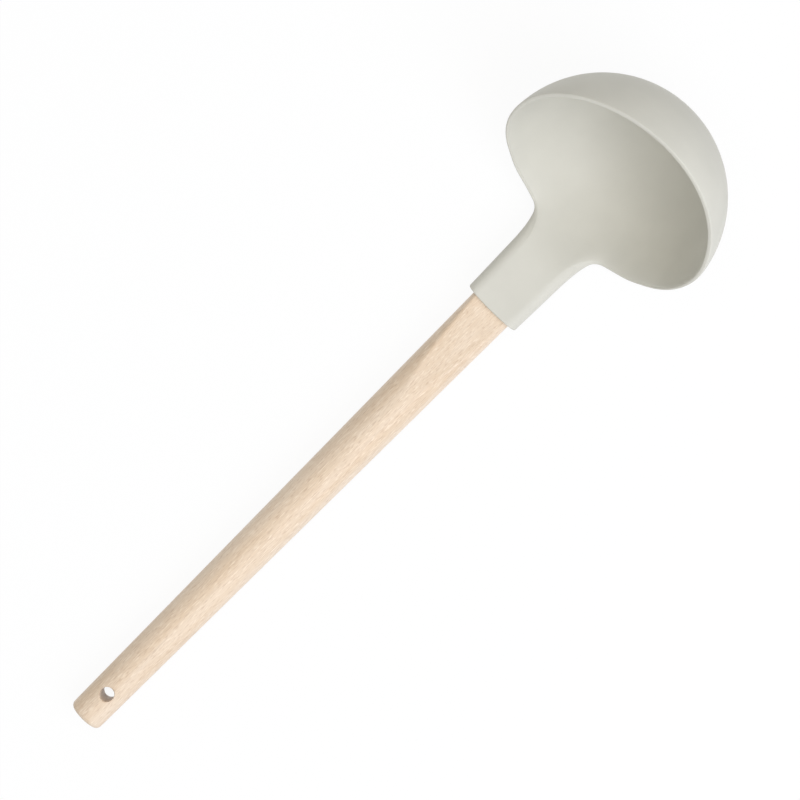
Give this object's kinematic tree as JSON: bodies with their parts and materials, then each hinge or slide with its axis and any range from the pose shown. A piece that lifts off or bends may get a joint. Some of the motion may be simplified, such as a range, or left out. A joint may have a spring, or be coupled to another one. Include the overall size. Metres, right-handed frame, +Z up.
{
  "type": "soup ladle",
  "caption": "Soup ladle: a deep round silicone bowl, neck and collar moulded over a stiff core, on a round tapered beech handle with a hanging hole.",
  "frame": {"origin": "middle of the bounding box on the table that the ladle lies on, on its back", "axes": "+X along the handle towards the bowl, +Y across, +Z up, the way the bowl opens"},
  "size_m": [0.3214, 0.0898, 0.077],
  "materials": {
    "silicone": "matte warm grey",
    "nylon": "moulded, hidden",
    "beech": "sanded and oiled"
  },
  "bodies": {
    "root": {"silicone_head": "silicone", "nylon_core": "nylon", "beech_handle": "beech"}
  },
  "joints": []
}
